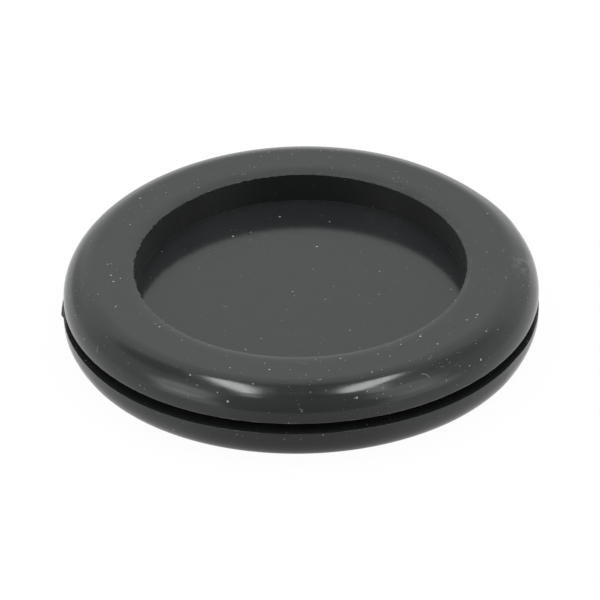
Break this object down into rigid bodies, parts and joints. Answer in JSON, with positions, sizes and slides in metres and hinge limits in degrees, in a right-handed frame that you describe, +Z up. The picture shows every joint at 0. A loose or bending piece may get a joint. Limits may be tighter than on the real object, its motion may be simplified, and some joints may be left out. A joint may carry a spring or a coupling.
{
  "type": "blind rubber grommet",
  "caption": "Round closed rubber grommet: two rounded flanges either side of an edge groove that holds a panel hole's rim, with a membrane that shuts the hole.",
  "frame": {"origin": "centre of the underside, on the moulding's axis", "axes": "+Z up along the moulding's axis, away from the surface it lies on; the flash tag is on the -X side"},
  "size_m": [0.0604, 0.06, 0.0109],
  "materials": {
    "rubber": "smooth moulded rubber, semi-gloss"
  },
  "bodies": {
    "root": {"grommet": "rubber"}
  },
  "joints": []
}
